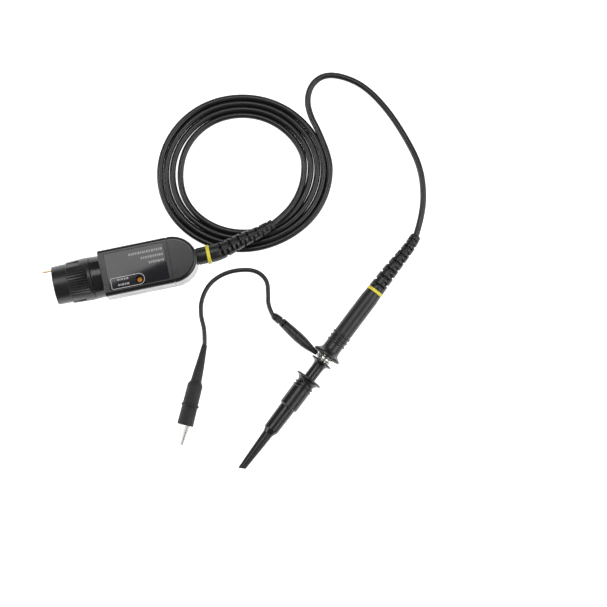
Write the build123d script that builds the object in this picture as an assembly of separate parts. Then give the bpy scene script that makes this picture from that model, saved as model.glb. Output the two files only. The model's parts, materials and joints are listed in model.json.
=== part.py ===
from build123d import *
import os
from math import atan2, cos, degrees, pi, radians, sin, tan

# Oscilloscope probe: compensation box with a BNC plug, coiled coax, probe handle with a retractable
# hook tip, and a ground lead with an alligator clip. Millimetres, +Z up. The origin is the centre of
# the box's resting face; the BNC mouth faces -X and the cable leaves along +X.

# ---- compensation box ----
box_width = 25.8
box_height = 24.4
shell_front = -26.7
shell_rear = 12.3
cap_length = 14.4
wall = 1.8
parting = 12.2
edge_round = 2.0
front_chamfer = 0.5
joint_width = 0.5
joint_depth = 0.4
axis_height = 12.3
cavity_half = box_width / 2 - wall
spigot_wall = 1.15
cap_end = shell_rear + cap_length
screw_places = [(x, y) for x in (-19.5, 5.5) for y in (-8.7, 8.7)]
post_radius = 2.2
board_bottom = 14.2
board_top = 15.4
trimmer_x = -6.7
trimmer_y = -6.9
trimmer_hole = 1.85
label_front = -23.4
label_rear = 9.8
label_half = 10.2
label_depth = 0.3

# ---- BNC plug, measured forward from the box's front wall ----
collar_length = 5.6
knob_rear = 5.9
grip_end = 18.7
knob_front = 27.0
nut_front = 26.4
contact_radius = 4.05
contact_front = 25.2
contact_root = 16.2
contact_seat = 3.8
nut_bore = 4.9
nut_outer = 6.6
knob_hollow_inner = 7.5
knob_hollow_outer = 9.7
web_back = 24.4
web_front = 26.2
lock_turn = 90.0
rib_groups = 3
ribs_in_group = 8
rib_pitch = 7.7
group_middle = -9.0
pad_middle = 51.0

# ---- readout contact ----
readout_offset = 8.6
readout_rise = 2.2
readout_tip = 32.6
readout_spring_start = 9.0
plunger_back = 19.0

# ---- cables ----
cable = 3.5
lead = 2.3
coil_centre = Vector(62.0, 42.6, 0)
coil_tilt = -12.0
coil_outer = (48.9, 45.6)
coil_inner = (31.6, 29.2)

# ---- probe head: distances run from the finger flange towards the tip ----
flange_radius = 8.15
head_heading = 221.4
head_origin = Vector(85.9, -67.6, flange_radius)
handle_rear = -43.2
handle_radius = 4.97
tip_flange = 4.6
sleeve_rear = 16.2
sleeve_step = 36.1
sleeve_neck = 52.6
nose_end = 79.3
tip_slant = 29.0
lead_angle = 90.0

# ---- clip ----
clip_origin = Vector(12.1, -66.7, 4.75)
clip_heading = 244.5
clip_roll = 35.0
cover_length = 25.5
pivot_place = 23.0
jaw_reach = 13.6


standing = (Align.CENTER, Align.CENTER, Align.MIN)
hanging = (Align.CENTER, Align.CENTER, Align.MAX)


def turned(seat, *profile):
    """Solid turned about the seat's Z axis. A corner is (radius, place) or (radius, place, rounding)."""
    face = Plane.XZ * Polygon(*[corner[:2] for corner in profile], align=None)
    for corner in profile:
        if len(corner) == 3:
            at = Vector(corner[0], 0, corner[1])
            nearest = sorted(face.vertices(), key=lambda v: (v.center() - at).length)[0]
            face = fillet(nearest, corner[2])
    return seat * revolve(face, Axis.Z)


def ring(seat, outer, inner, start, end):
    """Plain ring or tube about the seat's Z axis."""
    return turned(seat, (inner, start), (outer, start), (outer, end), (inner, end))


def rod(seat, radius, start, end, x=0, y=0):
    """Plain round rod along the seat's Z axis, x and y off it."""
    return seat * Pos(x, y, start) * Cylinder(radius, end - start, align=standing)


def block(seat, x, y, z):
    """Box between pairs of limits in the seat's frame."""
    size = [pair[1] - pair[0] for pair in (x, y, z)]
    middle = [(pair[1] + pair[0]) / 2 for pair in (x, y, z)]
    return seat * Pos(*middle) * Box(*size)


def polar(radius, angle):
    """Point at a radius and an angle in degrees."""
    return radius * cos(radians(angle)), radius * sin(radians(angle))


def helix_spring(seat, radius, wire, start, end, turns):
    """Round-wire compression spring along the seat's Z axis."""
    height = end - start - 2 * wire
    path = Helix(height / turns, height, radius)
    body = sweep(Plane(origin=path @ 0, z_dir=path % 0) * Circle(wire), path=path, is_frenet=True)
    return seat * Pos(0, 0, start + wire) * body


def relief(route, ends, radii, core, gap, bridges=True):
    """Ribbed cable relief: beads along a bent route on a thinner core, joined by alternating bridges."""
    path = Spline(*route, tangents=ends)
    count = len(radii) - 1
    body = None
    for i in range(count):
        a = path @ (i / count)
        b = path @ ((i + 1) / count)
        along = Plane(origin=a, z_dir=b - a)
        length = (b - a).length
        bead_length = length - gap if i < count - 1 else length
        bead = Cone(radii[i], radii[i + 1], bead_length, align=standing)
        overlap = 0.3 if i < count - 1 else 0
        middle = Cylinder(core, length + overlap, align=standing)
        piece = along * bead + along * middle
        if bridges and i < count - 1:
            reach = 1.7 * radii[i + 1]
            span = (1.5, reach) if i % 2 else (reach, 1.5)
            bridge = Box(*span, gap + 0.4, align=standing)
            piece += along * Pos(0, 0, length - gap - 0.2) * bridge
        body = piece if body is None else body + piece
    return body


def cord_tube(name, route, diameter):
    """Tube of a cord: straight runs joined by tangent arcs as large as the runs allow."""
    points = [Vector(*point) for point in route]
    radii = []
    for before, here, after in zip(points, points[1:], points[2:]):
        turn = (here - before).get_angle(after - here)
        shorter = min((here - before).length, (after - here).length)
        radii.append(0.45 * shorter / tan(radians(turn) / 2))
    path = FilletPolyline(*points, radius=radii)
    tube = sweep(Plane(origin=path @ 0, z_dir=path % 0) * Circle(diameter / 2), path=path)
    section = pi * diameter**2 / 4
    print(name, "length", round(path.length, 1), "arc radii", [round(radius, 1) for radius in radii])
    print("  volume ratio", round(tube.volume / section / path.length, 4))
    return tube


def across_angle(lean):
    """Angle in the nose frame of a place that leans from straight up towards +Y."""
    return lean - 90


# Seats: the frame that each group of pieces is drawn in, its Z along the group's axis.
nose = Plane(origin=(shell_front, 0, axis_height), x_dir=(0, 1, 0), z_dir=(-1, 0, 0))
tail = Plane(origin=(0, 0, axis_height), x_dir=(0, 1, 0), z_dir=(1, 0, 0))
readout_place = ((readout_offset**2 - readout_rise**2) ** 0.5, -readout_rise)
readout = Plane(origin=nose.from_local_coords(Vector(*readout_place, 0)), x_dir=(0, 1, 0), z_dir=(-1, 0, 0))
tip_way = Vector(*polar(1, head_heading), 0)
head = Plane(origin=head_origin, x_dir=(0, 0, 1), z_dir=tip_way)
lead_side = Vector(*polar(1, head_heading - lead_angle), 0)
lead_start = head_origin + tip_way * 2.6 + lead_side * 5.0
clip_way = Vector(*polar(1, clip_heading), 0)
clip = Plane(origin=clip_origin, x_dir=(0, 0, 1), z_dir=clip_way)
jaws = clip * Pos(0, 0, pivot_place) * Rot(0, 0, clip_roll)


# ---------------------------------------------------------------- box shells
def shell_blank(low, high):
    """Half of the box body before it is hollowed, its long outer edges rounded."""
    blank = block(Plane.XY, (shell_front, shell_rear), (-box_width / 2, box_width / 2), (low, high))
    face = high if high > parting else low
    edges = [e for e in blank.edges().filter_by(Axis.X) if abs(e.center().Z - face) < 0.01]
    blank = fillet(edges, edge_round if high > parting else 1.5)
    front = blank.faces().sort_by(Axis.X)[0]
    rim = [e for e in front.edges() if abs(e.center().Z - parting) > 0.01]
    return chamfer(rim, front_chamfer)


def joint_groove():
    """Frame cut from the rear rim of both shells, so that a fine groove shows in front of the end cap."""
    half = box_width / 2 - joint_depth
    kept = block(Plane.XY, (shell_rear - 2, shell_rear + 2), (-half, half),
                 (joint_depth, box_height - joint_depth))
    kept = fillet(kept.edges().filter_by(Axis.X), edge_round - joint_depth)
    frame = block(Plane.XY, (shell_rear - joint_width, shell_rear + 1), (-box_width, box_width),
                  (-1, box_height + 1))
    return frame - kept


def post(x, y, low, high, hole):
    """Screw post, as a pair of solids: the post and its hole."""
    return rod(Plane.XY, post_radius, low, high, x, y), rod(Plane.XY, hole, low - 3, high - 1, x, y)


def build_upper_shell():
    shell = shell_blank(parting, box_height)
    shell -= block(Plane.XY, (shell_front + wall, shell_rear + 1), (-cavity_half, cavity_half),
                   (parting - 1, box_height - wall))
    for x, y in screw_places:
        body, hole = post(x, y, parting, box_height - wall + 0.1, 0.95)
        shell = shell + body - hole
    shell -= rod(nose, 5.55, -wall - 1, 1)
    shell -= rod(nose, 0.95, -wall - 1, 1, *readout_place)
    shell -= block(Plane.XY, (label_front, label_rear), (-label_half, label_half),
                   (box_height - label_depth, box_height + 1))
    shell -= rod(Plane.XY, trimmer_hole, box_height - wall - 1, box_height + 1, trimmer_x, trimmer_y)
    lip = [e for e in shell.edges().filter_by(Axis.X)
           if abs(e.center().Z - parting) < 0.01 and abs(abs(e.center().Y) - box_width / 2) < 0.01]
    return chamfer(lip, 0.2) - joint_groove()


def build_lower_shell():
    shell = shell_blank(0, parting)
    shell -= block(Plane.XY, (shell_front + wall, shell_rear + 1), (-cavity_half, cavity_half),
                   (wall, parting + 1))
    for x, y in screw_places:
        shell += rod(Plane.XY, post_radius, wall - 0.1, parting, x, y)
        shell -= rod(Plane.XY, 1.1, -1, parting + 1, x, y)
        shell -= rod(Plane.XY, 2.05, -1, 1.7, x, y)
    shell -= rod(nose, 5.55, -wall - 1, 1)
    return shell - joint_groove()


def build_end_cap():
    """D-shaped cap that plugs into both shells."""
    def d_block(half, length, low, high):
        outline = Ellipse(length, half) & Pos(length / 2, 0) * Rectangle(length, 2 * half)
        return Pos(shell_rear, 0, low) * extrude(outline, high - low)

    cap = d_block(box_width / 2, cap_length, 0, box_height)
    top = [e for e in cap.edges() if abs(e.center().Z - box_height) < 0.01 and e.geom_type != GeomType.LINE]
    cap = fillet(top, edge_round)
    bottom = [e for e in cap.edges() if abs(e.center().Z) < 0.01 and e.geom_type != GeomType.LINE]
    cap = fillet(bottom, 1.5)
    plug = cavity_half - 0.05
    cap += block(Plane.XY, (shell_rear - 2.6, shell_rear + 0.1), (-plug, plug),
                 (wall + 0.05, box_height - wall - 0.05))
    inside = plug - spigot_wall
    low = wall + 0.05 + spigot_wall
    high = box_height - low
    cap -= d_block(inside, cap_length - wall, low, high)
    cap -= block(Plane.XY, (shell_rear - 3, shell_rear + 0.1), (-inside, inside), (low, high))
    cap -= rod(tail, 4.6, shell_rear + 4, cap_end + 1)
    return cap


def build_label():
    """Glossy plate set into the top face, with the trimmer's access hole."""
    plate = block(Plane.XY, (label_front + 0.1, label_rear - 0.1), (-label_half + 0.1, label_half - 0.1),
                  (box_height - label_depth, box_height + 0.1))
    plate = fillet(plate.edges().filter_by(Axis.Z), 0.6)
    return plate - rod(Plane.XY, trimmer_hole, box_height - 1, box_height + 1, trimmer_x, trimmer_y)


def build_board():
    board = block(Plane.XY, (-20.2, 9.0), (-9.2, 9.2), (board_bottom, board_top))
    for x, y in screw_places:
        board -= rod(Plane.XY, post_radius + 0.25, board_bottom - 1, board_top + 1, x, y)
    return board


def build_board_parts():
    """Chip parts in two rows, two inductors and an integrated circuit, each soldered on its own pads."""
    parts = []
    for i in range(5):
        parts.append(block(Plane.XY, (3.4 * i - 14, 3.4 * i - 12), (6.4, 7.6), (board_top, board_top + 0.7)))
        parts.append(block(Plane.XY, (2 * i - 2, 2 * i - 1.1), (-6.0, -4.5), (board_top, board_top + 0.6)))
    for x in (-14.0, -9.5):
        parts.append(rod(Plane.XY, 1.5, board_top, board_top + 1.9, x, 3.2))
    parts.append(block(Plane.XY, (-4.0, 0.6), (3.5, 5.7), (board_top, board_top + 0.9)))
    return Compound(children=parts)


def build_shield_can():
    """Folded screening can over the front end of the circuit."""
    can = block(Plane.XY, (-5.0, 5.0), (-4.0, 3.0), (board_top, board_top + 3.4))
    can = fillet(can.edges().filter_by(Axis.Z), 0.6)
    can -= block(Plane.XY, (-4.7, 4.7), (-3.7, 2.7), (board_top - 1, board_top + 3.1))
    return can


def build_trimmer_body():
    seat = Plane(origin=(trimmer_x, trimmer_y, board_top))
    return turned(seat, (1.25, 0), (2.5, 0), (2.5, 3.2, 0.3), (1.25, 3.2))


def build_trimmer_rotor():
    seat = Plane(origin=(trimmer_x, trimmer_y, board_top))
    rotor = turned(seat, (0, 0.3), (1.2, 0.3), (1.2, 3.4), (1.55, 3.4), (1.55, 5.2, 0.25), (0, 5.2))
    return rotor - block(seat, (-0.22, 0.22), (-2, 2), (4.5, 6))


def build_screws():
    screws = []
    for x, y in screw_places:
        seat = Plane(origin=(x, y, 0))
        screw = turned(seat, (0, 0.4), (1.9, 0.4, 0.25), (1.9, 1.7), (0.95, 1.7), (0.95, 17.4), (0, 18.2))
        screw -= block(seat, (-1.2, 1.2), (-0.25, 0.25), (0, 1.1))
        screw -= block(seat, (-0.25, 0.25), (-1.2, 1.2), (0, 1.1))
        screws.append(screw)
    return Compound(children=screws)


# ---------------------------------------------------------------- BNC plug
def build_collar():
    collar = turned(nose, (5.5, 0), (11.6, 0), (11.95, collar_length, 0.3), (9.9, collar_length),
                    (9.9, 3.0), (5.5, 3.0))
    return collar - rod(nose, 0.9, -1, 4, *readout_place)


def build_bnc_body():
    return turned(nose, (3.0, -6), (5.5, -6, 0.3), (5.5, 3.0), (7.4, 3.0), (7.4, 4.4), (4.6, 4.4),
                  (4.6, 15.3), (contact_seat, 15.3), (contact_seat, 15.9), (4.6, 15.9), (4.6, contact_root),
                  (3.45, contact_root), (3.45, 11.0), (3.0, 11.0))


def build_lock_nut():
    across = extrude(RegularPolygon(6.4, 6, major_radius=False), 2.4)
    return nose * Pos(0, 0, -wall - 2.4) * across - rod(nose, 5.5, -6, 0)


def build_contact():
    """Springy outer contact, split by four slots."""
    sleeve = turned(nose, (3.0, 11.0), (3.45, 11.0), (3.45, contact_root), (contact_seat, contact_root),
                    (contact_seat, 17.3), (contact_radius, 17.3), (contact_radius, contact_front, 0.25),
                    (3.5, contact_front), (3.5, 17.4), (3.0, 17.4))
    for angle in (45, 135):
        sleeve -= block(nose * Rot(0, 0, angle), (-0.25, 0.25), (-6, 6), (18.4, contact_front + 1))
    return sleeve


def build_centre_pin():
    return turned(nose, (0, -8), (0.68, -8), (0.68, 20.5), (0.68, 23.4), (0.2, 24.6), (0, 24.6))


def build_insulator():
    return ring(nose, 3.0, 0.68, -5.0, 19.5)


def build_nut():
    """Coupling nut: bayonet grooves start at the mouth and climb a quarter turn to a detent."""
    nut = turned(nose, (4.65, 6.4), (nut_outer, 6.4), (nut_outer, nut_front, 0.3),
                 (nut_bore, nut_front, 0.25), (nut_bore, 16.4), (5.6, 16.4), (5.6, 15.0), (4.65, 15.0))
    groove = 1.15
    steps = 10
    for side in (0, 180):
        for i in range(steps + 1):
            share = i / steps
            depth = nut_front - 2.6 - 3.6 * share
            turn = Rot(0, 0, side + 72 * share)
            nut -= nose * turn * Pos(0, 0, depth) * Rot(0, 90, 0) * Cylinder(
                groove, 6.0, align=standing)
        nut -= block(nose * Rot(0, 0, side), (0, 6.0), (-groove, groove), (nut_front - 2.6, nut_front + 1))
    return nut


def build_knob():
    """Plastic grip moulded over the nut, with an arc window in its web for the readout contact."""
    knob = turned(nose, (nut_outer, 6.4), (knob_hollow_inner, 6.4), (knob_hollow_inner, web_back),
                  (knob_hollow_outer, web_back), (knob_hollow_outer, knob_rear), (11.95, knob_rear, 0.3),
                  (12.0, 8.4), (11.45, grip_end, 0.35), (10.85, grip_end + 0.2), (10.72, knob_front, 0.5),
                  (knob_hollow_outer, knob_front, 0.3), (knob_hollow_outer, web_front),
                  (nut_outer, web_front))
    pin_angle = degrees(atan2(readout_place[1], readout_place[0]))
    cuts = []
    steps = 12
    for i in range(steps):
        angle = pin_angle + 8 - (lock_turn + 16) * (i + 0.5) / steps
        half = radians((lock_turn + 16) / steps) / 2 * knob_hollow_outer + 0.25
        cuts.append(block(nose * Rot(0, 0, angle), (knob_hollow_inner + 0.02, knob_hollow_outer - 0.1),
                          (-half, half), (web_back - 1, web_front + 1)))
    for group in range(rib_groups):
        middle = group_middle + 360 / rib_groups * group
        for i in range(ribs_in_group + 1):
            angle = across_angle(middle + rib_pitch * (i - ribs_in_group / 2))
            cuts.append(nose * Rot(0, 0, angle) * Pos(12.08, 0, 7.6) * Rot(0, 0, 45)
                        * Box(1.25, 1.25, grip_end - 7.0, align=standing))
        angle = across_angle(pad_middle + 360 / rib_groups * group)
        cuts.append(block(nose * Rot(0, 0, angle), (11.15, 13), (-2.2, 2.2), (11.2, grip_end - 0.6)))
    return knob - cuts


def build_retaining_ring():
    clip = ring(nose, 5.45, contact_seat, 15.35, 15.85)
    return clip - block(nose, (0, 6), (-0.8, 0.8), (15, 16.2))


def build_gasket():
    inner = contact_seat + 0.05
    return turned(nose, (inner, 16.25), (4.58, 16.25), (4.58, 17.0, 0.15), (inner, 17.0, 0.15))


def build_spring_washer():
    return turned(nose, (4.75, 4.45), (6.1, 5.6), (6.3, 6.3), (5.9, 6.3), (4.75, 4.85))


# ---------------------------------------------------------------- readout contact
def build_readout_barrel():
    return turned(readout, (0, -4.0), (0.88, -4.0), (0.88, 26.6), (0.62, 26.6), (0.62, 25.9), (0.72, 25.9),
                  (0.72, readout_spring_start), (0, readout_spring_start))


def build_readout_pin():
    return turned(readout, (0, plunger_back), (0.66, plunger_back), (0.66, 25.85), (0.56, 25.85),
                  (0.56, readout_tip, 0.45), (0, readout_tip))


def build_readout_spring():
    return helix_spring(readout, 0.42, 0.1, readout_spring_start + 0.05, plunger_back - 0.05, 11)


# ---------------------------------------------------------------- cable and its reliefs
box_relief_route = [(34.4, 0, 12.3), (41, 0.7, 11.8), (51.5, 4.3, 9.5), (62, 6.7, 7.7), (71.4, 10.3, 6.6)]
box_relief_radii = [5.0, 4.95, 4.7, 4.4, 4.1, 3.85, 3.6, 3.35, 3.1, 2.8]
lead_in_route = [(71.4, 10.3, 6.6), (79.5, 14.6, 5.3), (87.0, 21.5, 3.6), (92.6, 31.0, 2.0),
                 (95.0, 41.0, 1.8)]
run_route = [(108.6, 49.0, 1.8), (107.0, 57.5, 1.8), (104.4, 66.0, 1.8), (104.0, 75.5, 1.8),
             (108.3, 84.0, 1.8), (116.5, 88.0, 1.8), (126.5, 85.2, 1.8), (137.5, 77.2, 1.8),
             (147.0, 62.5, 1.8), (154.3, 44.0, 1.8), (158.9, 26.5, 1.8), (157.8, 10.5, 1.8),
             (153.4, -3.0, 2.0), (148.2, -12.2, 3.2)]
handle_relief_route = [(120.4, -37.2, 8.15), (128.6, -29.9, 7.7), (138.2, -21.9, 5.9), (144.4, -16.6, 4.3),
                       (148.2, -12.2, 3.2)]
handle_relief_radii = [4.7, 4.65, 4.45, 4.2, 4.0, 3.75, 3.5, 3.2, 2.9]
ground_relief_route = [(68.9, -47.6, 4.3), (65.6, -43.9, 3.2), (61.0, -39.4, 1.9)]
ground_wire_route = [(61.0, -39.4, 1.9), (59.4, -34.0, 1.2), (60.9, -27.0, 1.2), (61.9, -19.5, 1.2),
                     (57.2, -13.0, 1.2), (48.5, -10.6, 1.2), (39.0, -10.8, 1.2), (30.0, -14.5, 1.2),
                     (23.6, -22.5, 1.2), (21.4, -31.5, 1.2), (22.2, -40.0, 1.3), (20.4, -48.0, 1.8)]


def build_box_relief():
    """Relief at the box: flange inside the cap, neck through its wall, then beads up to the free end."""
    inside = turned(tail, (2.0, 20.5), (5.3, 20.5), (5.3, 22.3), (4.5, 22.3), (4.5, 26.9), (4.75, 26.9),
                    (4.75, 31.9), (3.9, 31.9), (3.9, 34.5), (2.0, 34.5))
    ends = ((1, 0, 0), Vector(*lead_in_route[1]) - Vector(*lead_in_route[0]))
    return inside + relief(box_relief_route, ends, box_relief_radii, 2.3, 0.95)


def build_box_marker():
    return turned(tail, (3.9, 31.9), (5.35, 31.9, 0.2), (5.35, 33.8, 0.2), (3.9, 33.8))


def build_box_ferrule():
    return turned(tail, (1.7, 13.0), (2.5, 13.0), (2.5, 19.8), (3.1, 19.8), (3.1, 20.4), (1.7, 20.4))


def build_lead_in():
    return cord_tube("main_cable_lead_in", lead_in_route, cable)


def build_coil():
    """Outer shape of the flat coil: an oval ring as thick as the cable."""
    outline = Ellipse(*coil_outer) - Ellipse(*coil_inner)
    return Pos(coil_centre.X, coil_centre.Y, 0.03) * Rot(0, 0, coil_tilt) * extrude(outline, cable)


def build_run():
    return cord_tube("main_cable_run", run_route, cable)


# ---------------------------------------------------------------- handle
def build_handle():
    """Grip with three finger ribs and a bell-shaped flange whose face is notched."""
    def rib(place):
        crest = handle_radius + 0.5
        return [(handle_radius, place - 0.8), (crest, place - 0.4), (crest, place + 0.4),
                (handle_radius, place + 0.8)]

    profile = [(3.5, handle_rear), (4.6, handle_rear, 0.2), (handle_radius, -39.0)]
    for place in (-13.5, -10.9, -8.3):
        profile += rib(place)
    profile += [(handle_radius + 0.1, -3.4), (5.6, -2.2), (6.9, -1.2), (flange_radius, -0.5, 0.3),
                (flange_radius, 0.7, 0.3), (6.9, 1.0), (5.7, 1.0), (5.7, -0.6), (3.7, -0.6), (3.7, -1.4),
                (3.5, -1.4)]
    handle = turned(head, *profile)
    notches = 8
    for i in range(notches):
        handle -= block(head * Rot(0, 0, 360 / notches * (i + 0.5)), (5.0, 7.2), (-0.7, 0.7), (-0.3, 2))
    return handle


def build_handle_marker():
    return turned(head, (3.5, -45.0), (4.85, -45.0, 0.2), (4.85, -43.3, 0.2), (3.5, -43.3))


def build_handle_relief():
    plug = turned(head, (1.7, -46.2), (4.45, -46.2), (4.45, -45.1), (3.45, -45.1), (3.45, -40.0),
                  (1.7, -40.0))
    ends = (tip_way * -1, Vector(*run_route[-2]) - Vector(*run_route[-1]))
    return plug + relief(handle_relief_route, ends, handle_relief_radii, 2.3, 0.95)


def build_handle_ferrule():
    return ring(head, 2.6, 1.7, -39.6, -34.2)


def build_ground_barrel():
    """Nickel barrel: shank in the handle, seat for the ground collar, then the socket for push-on tips."""
    return turned(head, (2.0, -34.0), (2.7, -34.0), (2.7, -28.0), (3.5, -28.0), (3.5, -1.35), (3.6, -1.25),
                  (3.6, 4.3, 0.15), (2.4, 4.3), (2.4, 14.0, 0.2), (1.7, 14.0), (1.7, -6.0), (2.4, -6.0),
                  (2.4, -29.0), (2.0, -29.0))


def build_substrate():
    """Ceramic attenuator strip with its resistor block and capacitor ring."""
    strip = block(head, (-0.35, 0.35), (-1.7, 1.7), (-27.0, -8.5))
    strip += block(head, (0.3, 0.95), (-1.0, 1.0), (-24.0, -18.0))
    return strip + block(head, (0.3, 1.2), (-1.3, 1.3), (-14.5, -11.5))


def build_tip_insulator():
    return turned(head, (0.5, -5.9), (1.7, -5.9), (1.7, 14.0), (2.2, 14.0), (1.3, 17.6, 0.2), (0.5, 17.6))


def build_needle():
    return turned(head, (0, -8.0), (0.5, -8.0), (0.5, 22.0), (0.12, 24.0), (0, 24.0))


# ---------------------------------------------------------------- hook tip
def build_hook_core():
    """Push-on part of the hook tip: small flange, guide barrel with a stop bead, and the spring's spindle."""
    core = turned(head, (2.45, tip_flange), (5.9, tip_flange, 0.15), (6.25, tip_flange + 0.3),
                  (6.25, tip_flange + 0.9, 0.15), (4.2, tip_flange + 1.6), (3.5, tip_flange + 2.5),
                  (3.35, 9.0), (3.35, 21.2), (3.9, 21.3, 0.2), (3.9, 22.4, 0.2), (3.1, 22.6),
                  (3.1, 27.0, 0.2), (1.3, 27.0),
                  (1.3, 39.0), (0.85, 39.0), (0.85, 26.5), (1.45, 26.5), (1.45, 19.6), (2.45, 19.6))
    return core


def build_hook_contact():
    """Split socket that grips the needle."""
    socket = turned(head, (0.52, 20.2), (1.3, 20.2), (1.45, 20.8), (1.45, 26.4), (0, 26.4), (0, 24.6),
                    (0.52, 24.6))
    return socket - block(head, (-0.12, 0.12), (-2, 2), (19.5, 23.5))


def build_hook_wire():
    """Spring-steel wire that ends in a small grabber hook."""
    offset = 0.5
    wire = 0.28
    start = 26.4
    turn = 77.4
    path = Line((offset, 0, start), (offset, 0, turn))
    path += ThreePointArc((offset, 0, turn), (0, 0, turn + offset), (-offset, 0, turn))
    path += Line((-offset, 0, turn), (-offset, 0, turn - 0.9))
    return head * sweep(Plane(origin=(offset, 0, start)) * Circle(wire), path=path)


def build_hook_spring():
    return helix_spring(head, 2.3, 0.27, 27.1, 47.9, 10)


def build_hook_sleeve():
    """Sliding sleeve: rear flange, ribbed collar, stepped barrel and the long tapered nose."""
    ridge = 5.65
    groove = 4.95
    sleeve = turned(head, (3.42, sleeve_rear), (6.9, sleeve_rear), (7.85, sleeve_rear + 0.4, 0.2),
                    (7.85, sleeve_rear + 1.1, 0.25), (6.1, 18.0), (5.1, 19.2), (groove, 20.3),
                    (groove, 20.6), (ridge, 20.9), (ridge, 21.7), (groove, 22.0), (groove, 22.4),
                    (ridge, 22.7), (ridge, 23.5), (5.35, 23.8), (5.35, sleeve_step - 0.6),
                    (4.75, sleeve_step), (4.45, sleeve_step + 0.2), (4.2, sleeve_neck - 1.2),
                    (3.6, sleeve_neck), (2.95, sleeve_neck + 1.6), (2.5, 66.0), (1.95, nose_end - 0.6),
                    (1.7, nose_end), (1.1, nose_end), (1.1, 73.5), (0.95, 73.0), (0.95, 48.0),
                    (3.2, 48.0), (3.2, 34.5), (4.0, 34.0), (4.0, 21.05), (3.42, 21.05))
    slant = head * Pos(0, 0, nose_end + 0.45) * Rot(tip_slant, 0, 0) * Box(8, 8, 2.4)
    return sleeve - slant


# ---------------------------------------------------------------- ground lead
def build_ground_collar():
    """Rolled spring collar with beaded edges, a split and the tab that carries the lead."""
    collar = turned(head, (3.62, 1.35), (4.3, 1.35, 0.15), (4.4, 1.8), (4.05, 2.2), (4.05, 3.0), (4.4, 3.4),
                    (4.3, 3.9, 0.15), (3.62, 3.9))
    split = head * Rot(0, 0, lead_angle + 150)
    collar -= block(split, (0, 6), (-0.5, 0.5), (1, 4.2))
    tab = block(head * Rot(0, 0, lead_angle), (4.0, 8.4), (-0.25, 0.25), (1.9, 3.3))
    return collar + tab


def build_ground_moulding():
    """Soft moulding on the collar's tab: slim at the collar, broad before the ribbed relief."""
    route = [lead_start, lead_start + lead_side * 4.5, Vector(71.1, -53.4, 5.6),
             Vector(*ground_relief_route[0])]
    widths = [1.15, 1.6, 2.5, 2.35]
    body = Pos(*route[2]) * Sphere(widths[2])
    for a, b, first, last in zip(route, route[1:], widths, widths[1:]):
        span = Plane(origin=a, z_dir=b - a)
        body += span * Cone(first, last, (b - a).length, align=standing)
    steps = [Vector(*b) - Vector(*a) for a, b in zip(ground_relief_route, ground_relief_route[1:])]
    radii = [2.3, 2.1, 1.85, 1.6, 1.45]
    body += relief(ground_relief_route, (steps[0], steps[-1]), radii, 1.2, 0.7, bridges=False)
    tab = block(head * Rot(0, 0, lead_angle), (4.0, 8.45), (-0.27, 0.27), (1.88, 3.32))
    return body - tab


def build_ground_wire():
    return cord_tube("ground_lead_wire", ground_wire_route, lead)


# ---------------------------------------------------------------- clip
def build_clip_cover():
    """Soft cover: slim boot that rises from the floor, shoulder, and the sleeve over the jaws."""
    cover = turned(clip, (1.3, 0.2), (2.75, 0.2), (3.0, 0.9), (4.2, 2.6, 0.6), (4.25, 13.2), (4.6, 13.5),
                   (4.95, 14.0), (4.95, 14.5), (4.6, 15.0), (4.3, 15.3), (4.5, cover_length, 0.25),
                   (3.8, cover_length, 0.15), (3.8, 10.0), (1.3, 8.5))
    boot_route = [Vector(20.4, -48.0, 1.8), Vector(17.0, -56.0, 3.3), clip_origin + clip_way * 0.4]
    boot_radii = [1.35, 2.0, 2.8]
    for a, b, first, last in zip(boot_route, boot_route[1:], boot_radii, boot_radii[1:]):
        span = Plane(origin=a, z_dir=b - a)
        cover += span * Cone(first, last, (b - a).length, align=standing)
        cover += Pos(*b) * Sphere(last)
    return cover - rod(clip, 1.3, 0.2, 9)


def jaw_half(side):
    """Tapered channel with toothed edges, ears at the pivot and a thumb arm behind it."""
    def slab(near, far):
        """Wedge between two rectangles: (half width, inner height, outer height, place)."""
        sections = []
        for half, low, high, place in (near, far):
            middle = (low + high) / 2
            sections.append(Pos(middle, 0, place) * Rectangle(high - low, 2 * half))
        return loft(sections)

    front = slab((1.9, 0.12, 2.0, 1.95), (0.95, 0.12, 1.25, jaw_reach))
    front -= slab((1.5, -0.2, 1.6, 1.7), (0.55, -0.2, 0.85, jaw_reach - 0.6))
    for i in range(8):
        front -= Pos(0.12, 0, 5.2 + 1.05 * i) * Rot(0, 45, 0) * Box(0.55, 6, 0.55)
    arm = slab((1.45, 2.05, 2.45, -9.0), (1.45, 1.6, 2.0, 2.3))
    ear_place = 1.2 if side > 0 else 1.95
    for end in (-1, 1):
        arm += block(Plane.XY, (-1.1, 2.0), (end * ear_place - 0.2, end * ear_place + 0.2), (-1.3, 1.5))
    if side < 0:
        arm += block(Plane.XY, (1.6, 2.0), (-2.15, 2.15), (-1.3, 2.3))
    hole = Rot(90, 0, 0) * Cylinder(0.65 if side > 0 else 0.6, 8)
    half = front + arm - hole
    return jaws * (half if side > 0 else Rot(0, 0, 180) * half)


def build_pivot():
    pin = Rot(90, 0, 0) * Cylinder(0.6, 4.8)
    return jaws * pin


def build_clip_spring():
    """Torsion spring on the pivot with a leg to each arm."""
    turns = 2.5
    pitch = 0.45
    path = Helix(pitch, pitch * turns, 0.95)
    wound = sweep(Plane(origin=path @ 0, z_dir=path % 0) * Circle(0.2), path=path, is_frenet=True)
    body = Rot(90, 0, 0) * Pos(0, 0, -pitch * turns / 2) * wound
    for side in (-1, 1):
        leg = Pos(side * 0.95, -side * 0.5, 0) * Rot(0, side * 4, 0) * Cylinder(
            0.2, 6.5, align=hanging)
        body += leg
    return jaws * body


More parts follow.
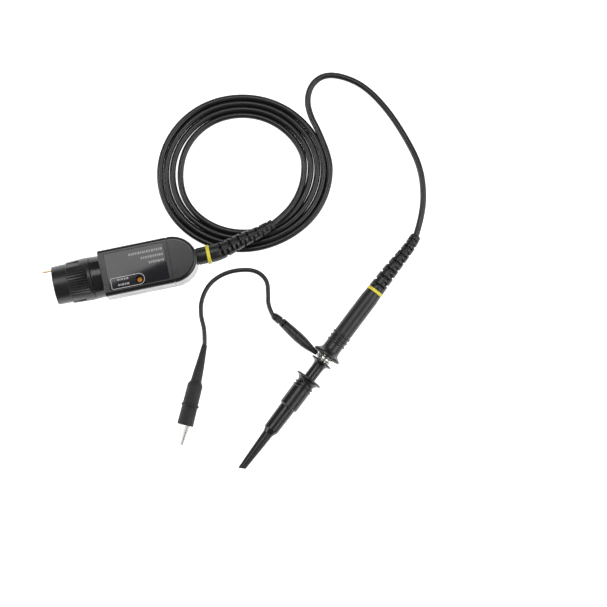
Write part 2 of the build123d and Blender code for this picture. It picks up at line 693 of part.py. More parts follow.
nodes = {
    "box_upper_shell": build_upper_shell,
    "box_lower_shell": build_lower_shell,
    "box_end_cap": build_end_cap,
    "label_plate": build_label,
    "circuit_board": build_board,
    "board_parts": build_board_parts,
    "shield_can": build_shield_can,
    "trimmer_body": build_trimmer_body,
    "trimmer_rotor": build_trimmer_rotor,
    "case_screws": build_screws,
    "front_collar": build_collar,
    "bnc_body": build_bnc_body,
    "bnc_lock_nut": build_lock_nut,
    "bnc_insulator": build_insulator,
    "bnc_centre_pin": build_centre_pin,
    "bnc_outer_contact": build_contact,
    "bnc_gasket": build_gasket,
    "bnc_retaining_ring": build_retaining_ring,
    "bnc_spring_washer": build_spring_washer,
    "bnc_bayonet_nut": build_nut,
    "bnc_knob": build_knob,
    "readout_barrel": build_readout_barrel,
    "readout_pin": build_readout_pin,
    "readout_spring": build_readout_spring,
    "box_cable_ferrule": build_box_ferrule,
    "box_strain_relief": build_box_relief,
    "box_marker_ring": build_box_marker,
    "main_cable_lead_in": build_lead_in,
    "main_cable_coil": build_coil,
    "main_cable_run": build_run,
    "handle_strain_relief": build_handle_relief,
    "handle_marker_ring": build_handle_marker,
    "handle_shell": build_handle,
    "handle_cable_ferrule": build_handle_ferrule,
    "ground_barrel": build_ground_barrel,
    "attenuator_strip": build_substrate,
    "tip_insulator": build_tip_insulator,
    "probe_needle": build_needle,
    "hook_core": build_hook_core,
    "hook_contact": build_hook_contact,
    "hook_wire": build_hook_wire,
    "hook_spring": build_hook_spring,
    "hook_sleeve": build_hook_sleeve,
    "ground_collar": build_ground_collar,
    "ground_lead_moulding": build_ground_moulding,
    "ground_lead_wire": build_ground_wire,
    "clip_cover": build_clip_cover,
    "clip_upper_jaw": lambda: jaw_half(1),
    "clip_lower_jaw": lambda: jaw_half(-1),
    "clip_pivot_pin": build_pivot,
    "clip_spring": build_clip_spring,
}

os.makedirs("parts", exist_ok=True)
for name, build in nodes.items():
    export_step(build(), os.path.join("parts", name + ".step"))
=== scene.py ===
"""Oscilloscope probe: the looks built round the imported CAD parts, in metres, in the CAD frame."""

import json
from math import cos, exp, pi, radians, sin

import bmesh
import bpy
from mathutils import Matrix, Vector


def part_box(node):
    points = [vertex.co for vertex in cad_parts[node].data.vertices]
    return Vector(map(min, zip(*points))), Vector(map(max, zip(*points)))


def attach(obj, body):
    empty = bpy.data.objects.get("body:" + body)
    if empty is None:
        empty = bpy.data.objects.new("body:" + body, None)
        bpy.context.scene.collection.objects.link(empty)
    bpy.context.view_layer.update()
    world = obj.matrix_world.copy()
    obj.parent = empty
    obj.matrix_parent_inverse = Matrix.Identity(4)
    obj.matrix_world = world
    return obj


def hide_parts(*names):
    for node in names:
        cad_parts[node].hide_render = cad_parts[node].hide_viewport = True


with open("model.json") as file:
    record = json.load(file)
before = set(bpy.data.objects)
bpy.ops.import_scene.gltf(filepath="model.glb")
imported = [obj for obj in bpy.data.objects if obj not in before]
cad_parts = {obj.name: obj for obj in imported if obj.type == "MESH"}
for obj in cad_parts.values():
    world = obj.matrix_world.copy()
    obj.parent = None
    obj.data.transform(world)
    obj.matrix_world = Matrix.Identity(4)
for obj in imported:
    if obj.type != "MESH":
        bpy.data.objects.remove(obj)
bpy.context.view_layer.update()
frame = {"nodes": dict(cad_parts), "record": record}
cad = frame["nodes"]
record = frame["record"]
mm = 0.001


# ================================================================ cable routes
# Diameters are in metres. Routes are control points in millimetres.
cable_diameter = 3.5 * mm
lead_diameter = 2.5 * mm
lead_in_route = [(71.4, 10.3, 6.6), (79.5, 14.6, 5.3), (87.0, 21.5, 3.7), (93.0, 30.9, 2.2)]
run_route = [(107.0, 57.5, 1.8), (104.4, 66.0, 1.8), (104.0, 75.5, 1.8), (108.3, 84.0, 1.8),
             (116.5, 88.0, 1.8), (126.5, 85.2, 1.8), (137.5, 77.2, 1.8), (147.0, 62.5, 1.8),
             (154.3, 44.0, 1.8), (158.9, 26.5, 1.8), (157.8, 10.5, 1.8), (153.4, -3.0, 2.0),
             (148.2, -12.2, 3.2)]
ground_route = [(61.0, -39.4, 1.9), (59.4, -34.0, 1.28), (60.9, -27.0, 1.28), (61.9, -19.5, 1.28),
                (57.2, -13.0, 1.28), (48.5, -10.6, 1.28), (39.0, -10.8, 1.28), (30.0, -14.5, 1.28),
                (23.6, -22.5, 1.28), (21.4, -31.5, 1.28), (22.2, -40.0, 1.35), (20.4, -48.0, 1.8)]

# The coil is an oval spiral, tilted in plan by an angle in degrees. coil_first is the half length
# and half width of its first turn, before growth.
coil_centre = (62.0, 42.95)
coil_shift = (-0.3, 0.6)
coil_height = 1.8
coil_tilt = -12.0
coil_first = (33.9, 31.35)
coil_step = 15.0
# How far the coil has moved out, in millimetres, as (angle in degrees, growth). A turn is 360.
coil_growth = [(12, 0.15), (45, -0.45), (90, 0.1), (120, 0.8), (150, 1.3), (180, 1.9), (210, 3.6),
               (240, 3.8), (270, 3.6), (300, 3.6), (330, 2.75), (352, 2.95), (372, 3.55),
               (405, 3.05), (450, 3.45), (480, 4.3), (510, 5.2), (540, 6.45), (570, 7.4),
               (600, 7.2), (630, 6.8), (660, 6.5), (690, 6.3), (732, 7.1), (765, 6.5),
               (810, 6.8), (840, 7.8), (870, 8.8), (900, 10.1), (930, 11.0), (960, 10.7),
               (990, 9.95), (1020, 9.5), (1050, 9.95), (1092, 10.6), (1125, 10.0), (1170, 10.2),
               (1200, 11.2), (1230, 12.3), (1260, 13.6), (1290, 14.5), (1320, 14.1), (1350, 13.1),
               (1380, 12.5), (1410, 13.4), (1448, 14.1)]
angle_margin = 0.01


def coil_reach(angle):
    """Growth at an angle, on a smooth line through its stops."""
    last = len(coil_growth) - 1
    here = max(i for i in range(last) if coil_growth[i][0] < angle + angle_margin)

    def slope(i):
        before, after = coil_growth[max(i - 1, 0)], coil_growth[min(i + 1, last)]
        return (after[1] - before[1]) / (after[0] - before[0])

    (start, low), (end, high) = coil_growth[here], coil_growth[here + 1]
    share = (angle - start) / (end - start)
    rise = share * share * (3 - 2 * share)
    leave = share * (1 - share) ** 2 * (end - start) * slope(here)
    arrive = share * share * (share - 1) * (end - start) * slope(here + 1)
    return low + (high - low) * rise + leave + arrive


def coil_points():
    """Control points of the coil, whose turns lie side by side, a little uneven."""
    right = Vector((cos(radians(coil_tilt)), sin(radians(coil_tilt)), 0))
    up = Vector((-right.y, right.x, 0))
    # The spline runs inside its control points, so they stand out by this much.
    swell = 1 / cos(radians(coil_step / 2))
    start, end = coil_growth[0][0], coil_growth[-1][0]
    steps = round((end - start) / coil_step)
    points = []
    for i in range(steps + 1):
        angle = start + (end - start) * i / steps
        grow = coil_reach(angle)
        x = (coil_first[0] + grow) * swell * cos(radians(angle)) + coil_shift[0]
        y = (coil_first[1] + grow) * swell * sin(radians(angle)) + coil_shift[1]
        place = Vector((*coil_centre, coil_height)) + right * x + up * y
        points.append(tuple(place))
    return points


def spline_curve(name, route, diameter=0.0, resolution=10):
    """Curve of one smooth open NURBS spline through a route in millimetres."""
    data = bpy.data.curves.new(name, "CURVE")
    data.dimensions = "3D"
    data.resolution_u = resolution
    data.bevel_depth = diameter / 2
    data.bevel_resolution = 6
    data.use_fill_caps = diameter > 0
    spline = data.splines.new("NURBS")
    spline.points.add(len(route) - 1)
    for point, place in zip(spline.points, route):
        point.co = (*(Vector(place) * mm), 1)
    spline.order_u = 3
    spline.use_endpoint_u = True
    made = bpy.data.objects.new(name, data)
    bpy.context.scene.collection.objects.link(made)
    return made


# ================================================================ materials
bevel_samples = 6
edge_gain = 6.0
moulded_edge = 0.22 * mm
plated_edge = 0.08 * mm
drawn_stretch = (1, 1, 6)


class Surface:
    """A material being built: a principled shader and the procedural detail that feeds it."""

    def __init__(self, name, colour, roughness, metallic=0.0, **sockets):
        self.material = bpy.data.materials.new(name)
        self.material.use_nodes = True
        self.tree = self.material.node_tree
        self.shader = self.tree.nodes["Principled BSDF"]
        self.normal = None
        self.shader.inputs["Base Color"].default_value = (*colour, 1)
        self.shader.inputs["Roughness"].default_value = roughness
        self.shader.inputs["Metallic"].default_value = metallic
        for socket, value in sockets.items():
            self.shader.inputs[socket.replace("_", " ")].default_value = value
        coordinates = self.tree.nodes.new("ShaderNodeTexCoord")
        self.place = coordinates.outputs["Object"]

    def node(self, kind, **inputs):
        """New node; inputs are set, or linked where the value is a socket."""
        made = self.tree.nodes.new(kind)
        for key, value in inputs.items():
            target = made.inputs[key.replace("_", " ")]
            if isinstance(value, bpy.types.NodeSocket):
                self.tree.links.new(value, target)
            else:
                target.default_value = value
        return made

    def noise(self, size, detail=2.0, stretch=None):
        """Noise whose features are about size metres, squeezed along stretch."""
        place = self.place
        if stretch:
            mapping = self.node("ShaderNodeMapping", Vector=place, Scale=stretch)
            place = mapping.outputs["Vector"]
        made = self.node("ShaderNodeTexNoise", Vector=place, Scale=1 / size, Detail=detail)
        return made.outputs["Fac"]

    def ramp(self, factor, *stops):
        """Colour ramp with (place, colour) stops."""
        made = self.node("ShaderNodeValToRGB", Fac=factor)
        for element, (place, colour) in zip(made.color_ramp.elements, stops):
            element.position = place
            element.color = (*colour, 1)
        return made.outputs["Color"]

    def span(self, factor, low, high, start=0.3, end=0.7):
        """A factor's start to end range mapped to low to high."""
        made = self.tree.nodes.new("ShaderNodeMapRange")
        self.tree.links.new(factor, made.inputs["Value"])
        ends = (("From Min", start), ("From Max", end), ("To Min", low), ("To Max", high))
        for key, value in ends:
            made.inputs[key].default_value = value
        return made.outputs["Result"]

    def mix(self, factor, first, second):
        """Colour mix; colours are tuples or sockets."""
        made = self.tree.nodes.new("ShaderNodeMix")
        made.data_type = "RGBA"
        self.tree.links.new(factor, made.inputs["Factor"])
        # Inputs 6 and 7 and output 2 are the colour sockets.
        for socket, value in ((made.inputs[6], first), (made.inputs[7], second)):
            if isinstance(value, bpy.types.NodeSocket):
                self.tree.links.new(value, socket)
            else:
                socket.default_value = (*value, 1)
        return made.outputs[2]

    def paint(self, socket):
        self.tree.links.new(socket, self.shader.inputs["Base Color"])

    def roughen(self, socket):
        self.tree.links.new(socket, self.shader.inputs["Roughness"])

    def bump(self, height, depth):
        """Raises the surface by height times depth metres."""
        made = self.node("ShaderNodeBump", Height=height, Strength=1.0, Distance=depth)
        if self.normal:
            self.tree.links.new(self.normal, made.inputs["Normal"])
        self.normal = made.outputs["Normal"]
        self.tree.links.new(self.normal, self.shader.inputs["Normal"])

    def soften(self, radius):
        """Rounds hard edges in the shading, by a radius in metres."""
        made = self.node("ShaderNodeBevel", Radius=radius)
        made.samples = bevel_samples
        self.normal = made.outputs["Normal"]
        self.tree.links.new(self.normal, self.shader.inputs["Normal"])

    def edges(self, radius):
        """Factor that is 1 on worn outer edges and 0 on flats."""
        rounded = self.node("ShaderNodeBevel", Radius=radius)
        rounded.samples = bevel_samples
        flat = self.tree.nodes.new("ShaderNodeNewGeometry")
        dot = self.tree.nodes.new("ShaderNodeVectorMath")
        dot.operation = "DOT_PRODUCT"
        self.tree.links.new(rounded.outputs["Normal"], dot.inputs[0])
        self.tree.links.new(flat.outputs["Normal"], dot.inputs[1])
        return self.span(dot.outputs["Value"], 1.0, 0.0, 1 - 1 / edge_gain, 1.0)


def scaled(colour, factor):
    return tuple(c * factor for c in colour)


def moulded(name, colour, roughness, grain=0.12 * mm, depth=0.006 * mm, soften=0.18 * mm,
            wear=1.9):
    """Moulded plastic: fine spark-eroded grain, uneven gloss, and edges rubbed paler."""
    made = Surface(name, colour, roughness)
    if soften:
        made.soften(soften)
    fine = made.noise(grain, 3.0)
    broad = made.noise(9 * mm, 3.0)
    made.bump(fine, depth)
    made.roughen(made.span(broad, roughness - 0.05, roughness + 0.07))
    pale = tuple(min(1.0, c * wear + 0.004) for c in colour)
    shade = made.ramp(broad, (0.3, scaled(colour, 0.88)), (0.7, scaled(colour, 1.12)))
    made.paint(made.mix(made.edges(moulded_edge), shade, pale))
    return made.material


def elastomer(name, colour, roughness, skin=0.005 * mm):
    """Soft rubber or cable jacket: dull bloom, faint mottling and a very fine skin."""
    made = Surface(name, colour, roughness)
    fine = made.noise(0.25 * mm, 3.0)
    bloom = made.noise(6 * mm, 4.0)
    made.bump(fine, skin)
    made.bump(made.noise(4 * mm, 1.0), 0.03 * mm)
    made.roughen(made.span(bloom, roughness - 0.06, roughness + 0.1))
    made.paint(made.ramp(bloom, (0.3, scaled(colour, 0.85)), (0.72, scaled(colour, 1.25))))
    return made.material


def metal(name, colour, roughness, tarnish=0.8):
    """Plated or bare metal: drawn or turned scratches, slight tarnish, softened edges."""
    made = Surface(name, colour, roughness, metallic=1.0)
    made.soften(plated_edge)
    lines = made.noise(0.2 * mm, 3.0, drawn_stretch)
    cloud = made.noise(3 * mm, 4.0)
    made.bump(lines, 0.008 * mm)
    made.roughen(made.span(cloud, roughness - 0.05, roughness + 0.12))
    made.paint(made.ramp(cloud, (0.3, scaled(colour, tarnish)), (0.65, colour)))
    return made.material


def board_material():
    """Green solder mask over copper tracks."""
    mask, over_track = (0.01, 0.11, 0.04), (0.05, 0.22, 0.08)
    made = Surface("solder_mask", mask, 0.3, Coat_Weight=0.4)
    brick = made.node("ShaderNodeTexBrick", Vector=made.place, Scale=420.0)
    brick.inputs["Mortar Size"].default_value = 0.04
    tracks = brick.outputs["Fac"]
    made.paint(made.mix(tracks, mask, over_track))
    made.bump(tracks, 0.03 * mm)
    made.bump(made.noise(0.3 * mm), 0.01 * mm)
    return made.material


def label_material():
    """Glossy near-black film with a faint metallic fleck and slightly uneven gloss."""
    made = Surface("label_film", (0.011, 0.0095, 0.0125), 0.03)
    dark, light = (0.0085, 0.0072, 0.0098), (0.0145, 0.0128, 0.0165)
    cloud = made.noise(14 * mm, 3.0)
    fleck = made.noise(0.12 * mm, 1.0)
    made.paint(made.mix(made.span(fleck, 0.0, 1.0, 0.45, 0.75), dark, light))
    made.roughen(made.span(cloud, 0.02, 0.05))
    made.bump(made.noise(9 * mm, 1.0), 0.004 * mm)
    return made.material


# Finishes of the record's slots, and of pieces and nodes that need their own.
finishes = {
    "case_plastic": moulded("case_plastic", (0.0085, 0.0085, 0.0092), 0.17, depth=0.0012 * mm),
    "knob_plastic": moulded("knob_plastic", (0.012, 0.012, 0.0125), 0.28, grain=0.2 * mm,
                            depth=0.004 * mm),
    "label_film": label_material(),
    "board_laminate": board_material(),
    "chip_ceramic": moulded("chip_ceramic", (0.12, 0.1, 0.085), 0.6),
    "tinned_steel": metal("tinned_steel", (0.62, 0.62, 0.6), 0.32),
    "white_ceramic": moulded("white_ceramic", (0.78, 0.76, 0.7), 0.62, wear=1.05),
    "ptfe": moulded("ptfe", (0.8, 0.8, 0.78), 0.4, wear=1.02),
    "brass": metal("brass", (0.44, 0.165, 0.032), 0.3),
    "gold_plate": metal("gold_plate", (0.88, 0.66, 0.4), 0.28, tarnish=0.88),
    "nickel_plate": metal("nickel_plate", (0.68, 0.66, 0.62), 0.2),
    "clip_steel": metal("clip_steel", (0.5, 0.49, 0.47), 0.34),
    "silicone": elastomer("silicone", (0.3, 0.06, 0.045), 0.6),
    "relief_rubber": elastomer("relief_rubber", (0.0065, 0.0065, 0.0068), 0.36),
    "cover_rubber": elastomer("cover_rubber", (0.0085, 0.0085, 0.009), 0.6, skin=0.012 * mm),
    "marker_yellow": moulded("marker_yellow", (0.92, 0.8, 0.06), 0.42, wear=1.05),
    "cable_jacket": elastomer("cable_jacket", (0.0065, 0.0065, 0.0067), 0.3, skin=0.002 * mm),
    "grip_plastic": moulded("grip_plastic", (0.012, 0.012, 0.0125), 0.36, depth=0.008 * mm),
    "tip_plastic": moulded("tip_plastic", (0.0085, 0.0085, 0.009), 0.25, depth=0.003 * mm),
    "faint_ink": moulded("faint_ink", (0.34, 0.33, 0.34), 0.5, soften=0, wear=1.0),
    "white_ink": moulded("white_ink", (0.62, 0.61, 0.62), 0.5, soften=0, wear=1.0),
}

# Nodes whose finish isn't the one of their slot.
finer_finish = {"clip_upper_jaw": "clip_steel", "clip_lower_jaw": "clip_steel"}


def dress_cad():
    """Gives every CAD node the finish of its record slot, or its own finer one."""
    for part in record["subparts"]:
        data = cad[part["node"]].data
        data.materials.clear()
        data.materials.append(finishes[finer_finish.get(part["node"], part["material_slot"])])


dress_cad()


# ================================================================ cables
def build_main_cable():
    route = lead_in_route + coil_points() + run_route
    made = spline_curve("main_cable", route, cable_diameter)
    made.data.materials.append(finishes["cable_jacket"])
    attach(made, "root")
    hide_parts("main_cable_lead_in", "main_cable_coil", "main_cable_run")


def build_ground_lead():
    made = spline_curve("ground_lead", ground_route, lead_diameter)
    made.data.materials.append(finishes["cable_jacket"])
    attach(made, "root")
    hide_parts("ground_lead_wire")


# ================================================================ swept pieces
line_resolution = 24
frame_step = 0.4 * mm
sharp_angle = 38


class Line:
    """A smooth line through a route, with an upright frame at each distance along it."""

    def __init__(self, route):
        curve = spline_curve("line", route, resolution=line_resolution)
        bpy.context.view_layer.update()
        shown = curve.evaluated_get(bpy.context.evaluated_depsgraph_get())
        mesh = bpy.data.meshes.new_from_object(shown)
        self.points = [vertex.co.copy() for vertex in mesh.vertices]
        bpy.data.objects.remove(curve)
        bpy.data.meshes.remove(mesh)
        self.places = [0.0]
        for before, after in zip(self.points, self.points[1:]):
            self.places.append(self.places[-1] + (after - before).length)
        self.length = self.places[-1]

    def point(self, place):
        """Point at a distance; past an end the line goes straight on."""
        i = 1
        while i < len(self.places) - 1 and self.places[i] < place:
            i += 1
        before, after = self.points[i - 1], self.points[i]
        share = (place - self.places[i - 1]) / (self.places[i] - self.places[i - 1])
        return before + (after - before) * share

    def at(self, place):
        """(point, across, up) at a distance, up being as near +Z as the line allows."""
        along = (self.point(place + frame_step) - self.point(place - frame_step)).normalized()
        across = along.cross(Vector((0, 0, 1))).normalized()
        return self.point(place), across, across.cross(along)


def add_mesh(name, vertices, faces, finish):
    """New object that rides on the root, with smooth shading that breaks at sharp edges."""
    mesh = bpy.data.meshes.new(name)
    mesh.from_pydata([tuple(v) for v in vertices], [], faces)
    built = bmesh.new()
    built.from_mesh(mesh)
    bmesh.ops.recalc_face_normals(built, faces=built.faces)
    built.to_mesh(mesh)
    built.free()
    mesh.polygons.foreach_set("use_smooth", [True] * len(mesh.polygons))
    mesh.set_sharp_from_angle(angle=radians(sharp_angle))
    mesh.materials.append(finishes[finish])
    made = bpy.data.objects.new(name, mesh)
    bpy.context.scene.collection.objects.link(made)
    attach(made, "root")
    return made


def skin_faces(rows, around):
    """Quads between rings of points, and fans over both ends round the last two points."""
    faces = []
    for r in range(rows - 1):
        for a in range(around):
            b = (a + 1) % around
            near, far = r * around, (r + 1) * around
            faces.append((near + a, near + b, far + b, far + a))
    first, last = rows * around, rows * around + 1
    for a in range(around):
        b = (a + 1) % around
        faces.append((first, b, a))
        faces.append((last, (rows - 1) * around + a, (rows - 1) * around + b))
    return faces


def skin(name, line, rows, angles, finish):
    """Closed skin round a line. A row is (place, radii) in mm, a radius per angle, 0 being up."""
    vertices = []
    for place, radii in rows:
        point, across, up = line.at(place * mm)
        for angle, radius in zip(angles, radii):
            vertices.append(point + (up * cos(angle) + across * sin(angle)) * radius * mm)
    vertices += [line.point(rows[0][0] * mm), line.point(rows[-1][0] * mm)]
    return add_mesh(name, vertices, skin_faces(len(rows), len(angles)), finish)


def between(place, stops):
    """Value at a place on a broken line of (place, value) stops."""
    if place <= stops[0][0]:
        return stops[0][1]
    for (a, low), (b, high) in zip(stops, stops[1:]):
        if place <= b:
            return low + (high - low) * (place - a) / (b - a)
    return stops[-1][1]


def circle_angles(count):
    return [2 * pi * i / count for i in range(count)]


# ================================================================ slotted cable reliefs
# All lengths are in millimetres, and places are distances along a relief's line.
# Wall of a slot from its lip down: (distance into the slot, share of the depth).
slot_wall = [(-0.26, 0.0), (-0.12, 0.03), (-0.04, 0.12), (0.0, 0.35), (0.03, 1.0)]
# Rounded end of a moulded boot: (distance back from the end, drop of the radius).
boot_end = [(0.6, 0.0), (0.3, 0.06), (0.1, 0.2), (0.0, 0.42)]
boot_end_reach = 0.7
boot_end_lip = 0.02
boot_angles = 128
seam_height = 0.05
seam_width = 0.035
slot_margin = 0.3
slot_width = 1.15
# Degrees to each side of a slot's middle, and the degrees over which its ends run out.
slot_opening = 55.0
slot_fade = 4
# Angles of the two families of slots, which take turns along a relief.
slot_leans = (0.0, 72.0)
relief_core = 2.15
box_relief_route = [(23.9, 0, 12.3), (34.4, 0, 12.3), (41, 0.7, 11.8), (51.5, 4.3, 9.5),
                    (62, 6.7, 7.7), (71.4, 10.3, 6.6)]
handle_relief_route = [(119.65, -37.84, 8.15), (128.6, -29.9, 7.7), (138.2, -21.9, 5.9),
                       (144.4, -16.6, 4.3), (148.2, -12.2, 3.2)]


def slots_between(first, last, count):
    """(first slot, pitch, count, width) of evenly spaced slots."""
    return first, (last - first) / (count - 1), count, slot_width


def slot_rows(first, pitch, count, width):
    """(place, share of the depth, which family of slots) down and up the walls of every slot."""
    rows = []
    for i in range(count):
        middle = first + pitch * i
        rows += [(middle - width / 2 + into, share, i % 2) for into, share in slot_wall]
        rows += [(middle + width / 2 - into, share, i % 2) for into, share in reversed(slot_wall)]
    return rows


def seam(angle):
    """Height of the faint mould line down both sides of a boot."""
    off = abs(abs((angle + pi) % (2 * pi) - pi) - pi / 2)
    return seam_height * exp(-((off / seam_width) ** 2))


def slot_cut(angle, family):
    """1 inside a slot and 0 on the webs between a pair of slots."""
    off = abs((angle * 180 / pi - slot_leans[family] + 90) % 180 - 90)
    return min(1.0, max(0.0, (slot_opening - off) / slot_fade + 0.5))


def slotted_boot(name, line, stops, slots, core, node, end_radius, step=0.8):
    """Tapered boot with slots cut in pairs down to a core radius. It stands for a CAD node."""
    angles = circle_angles(boot_angles)
    first, pitch, count, width = slots
    rows = slot_rows(first, pitch, count, width)
    taken = [(first + pitch * i - width / 2 - slot_margin,
              first + pitch * i + width / 2 + slot_margin) for i in range(count)]
    end = stops[-1][0]
    plain = [place for place, radius in stops[:-1]]
    plain += [stops[0][0] + step * i for i in range(int((end - stops[0][0]) / step))]
    rows += [(place, 0.0, 0) for place in plain if place < end - boot_end_reach
             and not any(low < place < high for low, high in taken)]
    rows.sort()

    skin_rows = []
    for place, share, family in rows:
        outer = between(place, stops)
        radii = []
        for angle in angles:
            depth = share * slot_cut(angle, family)
            radii.append(outer + (core - outer) * depth + seam(angle) * (1 - depth))
        skin_rows.append((place, radii))
    for back, drop in boot_end:
        skin_rows.append((end - back, [stops[-1][1] - drop] * len(angles)))
    skin_rows.append((end + boot_end_lip, [end_radius] * len(angles)))
    made = skin(name, line, skin_rows, angles, "relief_rubber")
    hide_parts(node)


def build_box_relief():
    line = Line(box_relief_route)
    end = line.length / mm
    stops = [(0.0, 4.4), (2.98, 4.5), (3.0, 4.75), (7.95, 4.75), (7.96, 4.0), (9.94, 4.0),
             (9.95, 4.95), (12.5, 4.95), (19, 4.6), (end - 2, 2.95), (end, 2.8)]
    slotted_boot("box_relief_boot", line, stops, slots_between(15.9, end - 2.6, 12), relief_core,
                 "box_strain_relief", cable_diameter / mm / 2)


def build_handle_relief():
    line = Line(handle_relief_route)
    end = line.length / mm
    stops = [(0.0, 4.5), (1.2, 4.6), (10, 4.3), (end - 3, 3.1), (end, 2.95)]
    slotted_boot("handle_relief_boot", line, stops, slots_between(2.9, end - 3.6, 13), relief_core,
                 "handle_strain_relief", cable_diameter / mm / 2)


build_box_relief()
build_handle_relief()


# ================================================================ ground lead's boot and clip cover
ground_boot_route = [(80.64, -65.57, 8.15), (77.67, -62.19, 8.15), (71.4, -53.3, 5.6),
                     (67.9, -48.2, 4.3), (65.0, -43.9, 3.2), (61.0, -39.4, 1.9)]
ground_boot_core = 1.3
clip_route = [(20.4, -48.0, 1.8), (17.0, -56.0, 3.3), (12.1, -66.7, 4.75), (10.6, -69.85, 4.75),
              (1.12, -89.7, 4.75)]
# Length of the cover from its shoulder to its mouth.
cover_length = 25.5
cover_angles = 96
cover_step = 0.9


def build_ground_boot():
    line = Line(ground_boot_route)
    end = line.length / mm
    stops = [(0.0, 1.0), (0.4, 1.25), (3, 1.6), (6, 2.2), (9.5, 2.7), (14, 2.9), (19, 2.8),
             (24, 2.55), (end - 1.5, 2.1), (end, 1.85)]
    slots = (end - 8.9, 3.0, 3, 1.0)
    slotted_boot("ground_lead_boot", line, stops, slots, ground_boot_core, "ground_lead_moulding",
                 lead_diameter / mm / 2, step=0.5)


def build_clip_cover():
    """Boot, shoulder, sleeve with a raised ring, and the hollow mouth round the jaws."""
    line = Line(clip_route)
    start = line.length / mm - cover_length
    outside = [(0.0, 1.28), (0.12, 1.35), (0.5, 1.5), (4, 1.75), (9, 2.15), (15, 2.65),
               (start - 0.5, 2.95), (start + 0.4, 3.05), (start + 1.0, 3.35), (start + 1.8, 3.85),
               (start + 2.4, 4.12), (start + 3.2, 4.22), (start + 8, 4.25), (start + 13.1, 4.3),
               (start + 13.35, 4.42), (start + 13.6, 4.72), (start + 13.95, 4.93),
               (start + 14.3, 4.95), (start + 14.6, 4.85), (start + 14.85, 4.55),
               (start + 15.1, 4.38), (start + 15.5, 4.33), (start + 20, 4.42),
               (start + 24.8, 4.5), (start + 25.2, 4.45), (start + 25.4, 4.35),
               (start + 25.5, 4.15)]
    inside = [(start + 25.5, 4.0), (start + 25.35, 3.87), (start + 25.0, 3.84),
              (start + 18, 3.82), (start + 10.1, 3.82)]
    angles = circle_angles(cover_angles)
    boot_places = {cover_step * i for i in range(int(start / cover_step))}
    places = sorted({round(place, 3) for place, radius in outside} | boot_places)
    rows = [(place, [between(place, outside) + seam(angle) for angle in angles])
            for place in places]
    rows += [(place, [radius] * len(angles)) for place, radius in inside]
    made = skin("clip_cover_sleeve", line, rows, angles, "cover_rubber")
    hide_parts("clip_cover")


build_ground_boot()
build_clip_cover()
build_main_cable()
build_ground_lead()


# ================================================================ printed marks on the label
# The outline round the trimmer has its left end this far from the trimmer's middle.
capsule_reach = 15.5 * mm
capsule_half = 3.0 * mm
capsule_corner = 0.8 * mm
capsule_line = 0.3 * mm
end_steps = 24
corner_steps = 6
print_height = 0.02 * mm
label_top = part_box("label_plate")[1].z

# Rows of generic printed dashes: (left end, right end, row's middle, height), in millimetres.
dash_rows = [(-10.0, 8.9, 7.1, 1.3), (-3.6, 8.7, 4.0, 1.3), (0.2, 9.0, 0.9, 1.3),
             (-18.6, -11.6, -5.2, 1.1), (-18.6, -11.6, -8.1, 1.1)]
dash_lengths = (0.9, 0.6, 1.1, 0.8, 1.3, 0.7)
dash_gap = 0.38
block_faces = ((0, 1, 3, 2), (4, 5, 7, 6), (0, 1, 5, 4), (2, 3, 7, 6), (0, 2, 6, 4), (1, 3, 7, 5))


def capsule_outline():
    """(x, y, outward x, outward y) round the trimmer: straight left end, round right end."""
    low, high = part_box("trimmer_rotor")
    centre = (low + high) / 2
    left = centre.x - capsule_reach
    outline = []
    for i in range(end_steps + 1):
        angle = -pi / 2 + pi * i / end_steps
        outline.append((centre.x + capsule_half * cos(angle),
                        centre.y + capsule_half * sin(angle), cos(angle), sin(angle)))
    for start, side in ((pi / 2, 1), (pi, -1)):
        for i in range(corner_steps + 1):
            angle = start + pi / 2 * i / corner_steps
            x = left + capsule_corner + capsule_corner * cos(angle)
            y = centre.y + side * (capsule_half - capsule_corner) + capsule_corner * sin(angle)
            outline.append((x, y, cos(angle), sin(angle)))
    return outline


def build_capsule():
    """Thin closed printed line that follows the outline round the trimmer."""
    outline = capsule_outline()
    section = ((-0.5, -print_height), (-0.4, print_height), (0.4, print_height),
               (0.5, -print_height))
    vertices, faces = [], []
    for x, y, nx, ny in outline:
        for offset, height in section:
            vertices.append((x + nx * capsule_line * offset, y + ny * capsule_line * offset,
                             label_top + height))
    count, corners = len(outline), len(section)
    for i in range(count):
        j = (i + 1) % count
        for k in range(corners):
            m = (k + 1) % corners
            faces.append((corners * i + k, corners * j + k, corners * j + m, corners * i + m))
    add_mesh("label_capsule", vertices, faces, "white_ink")


def build_dashes():
    """Generic printed dashes in rows, as thin closed pads on the label."""
    vertices, faces = [], []
    for left, right, middle, height in dash_rows:
        x, i = left, 0
        while x + dash_lengths[i % len(dash_lengths)] <= right:
            ends = (x, x + dash_lengths[i % len(dash_lengths)])
            first = len(vertices)
            for lift in (-print_height, print_height):
                for y in (middle - height / 2, middle + height / 2):
                    vertices += [(end * mm, y * mm, label_top + lift) for end in ends]
            faces += [[first + corner for corner in corners] for corners in block_faces]
            x, i = ends[1] + dash_gap, i + 1
    add_mesh("label_dashes", vertices, faces, "faint_ink")


build_capsule()
build_dashes()


# ================================================================ floor, light, camera
floor_reach = 3.0
world_colour = (0.97, 0.98, 1.0, 1)
world_strength = 0.2
light_target = (0.07, 0.0, 0.0)
# (name, place, target, size, radiance, turn about its own axis in degrees)
softboxes = [("overhead", (-0.024, 0.597, 1.5), (-0.024, 0.597, 0.0), (1.3, 0.8), 3.2, 12),
             ("right_side", (1.12, -0.45, 0.96), light_target, (1.4, 0.9), 3.0, 0),
             ("left_strip", (-1.25, 0.15, 0.5), light_target, (0.9, 0.3), 7.5, 0)]
camera_turn = 11.67
camera_rise = 85.0
camera_distance = 1.1
camera_target = Vector((79.08, -36.31, 0)) * mm
camera_lens = 116.7
camera_sensor = 36.0
camera_near = 0.05


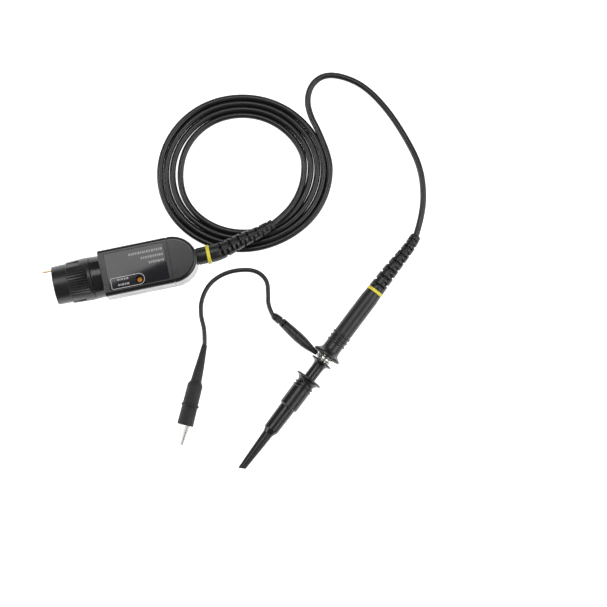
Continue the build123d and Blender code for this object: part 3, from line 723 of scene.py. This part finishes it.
def build_floor():
    """Pale paper that glows evenly, so that it stays white, and doesn't light the object."""
    mesh = bpy.data.meshes.new("floor")
    corners = [(-floor_reach, -floor_reach, 0), (floor_reach, -floor_reach, 0),
               (floor_reach, floor_reach, 0), (-floor_reach, floor_reach, 0)]
    mesh.from_pydata(corners, [], [(0, 1, 2, 3)])
    floor = bpy.data.objects.new("floor", mesh)
    bpy.context.scene.collection.objects.link(floor)
    floor.visible_diffuse = False
    paper = Surface("floor_paper", (0.93, 0.93, 0.93), 0.45, Emission_Color=(1, 1, 1, 1),
                    Emission_Strength=1.0)
    paper.bump(paper.noise(0.6 * mm), 0.004 * mm)
    mesh.materials.append(paper.material)


def softbox(name, place, target, size, radiance, turn):
    """Rectangular area light of a given radiance that faces a target."""
    data = bpy.data.lights.new(name, "AREA")
    data.shape = "RECTANGLE"
    data.size, data.size_y = size
    data.energy = radiance * pi * size[0] * size[1]
    light = bpy.data.objects.new(name, data)
    aim = (Vector(target) - Vector(place)).to_track_quat("-Z", "Y").to_matrix().to_4x4()
    spin = Matrix.Rotation(radians(turn), 4, "Z")
    light.matrix_world = Matrix.Translation(place) @ aim @ spin
    bpy.context.scene.collection.objects.link(light)


def build_light():
    world = bpy.data.worlds.new("studio")
    world.use_nodes = True
    background = world.node_tree.nodes["Background"]
    background.inputs["Color"].default_value = world_colour
    background.inputs["Strength"].default_value = world_strength
    bpy.context.scene.world = world
    for settings in softboxes:
        softbox(*settings)


def build_camera():
    turn, rise = radians(camera_turn), radians(camera_rise)
    ahead = Vector((sin(turn), cos(turn), 0))
    look = ahead * cos(rise) - Vector((0, 0, 1)) * sin(rise)
    up = ahead * sin(rise) + Vector((0, 0, 1)) * cos(rise)
    across = look.cross(up)
    data = bpy.data.cameras.new("camera")
    data.lens = camera_lens
    data.sensor_width = camera_sensor
    data.clip_start = camera_near
    camera = bpy.data.objects.new("camera", data)
    turned = Matrix((across, up, -look)).transposed().to_4x4()
    camera.matrix_world = Matrix.Translation(camera_target - look * camera_distance) @ turned
    bpy.context.scene.collection.objects.link(camera)
    bpy.context.scene.camera = camera


build_floor()
build_light()
build_camera()
bpy.context.scene.view_settings.view_transform = "Standard"
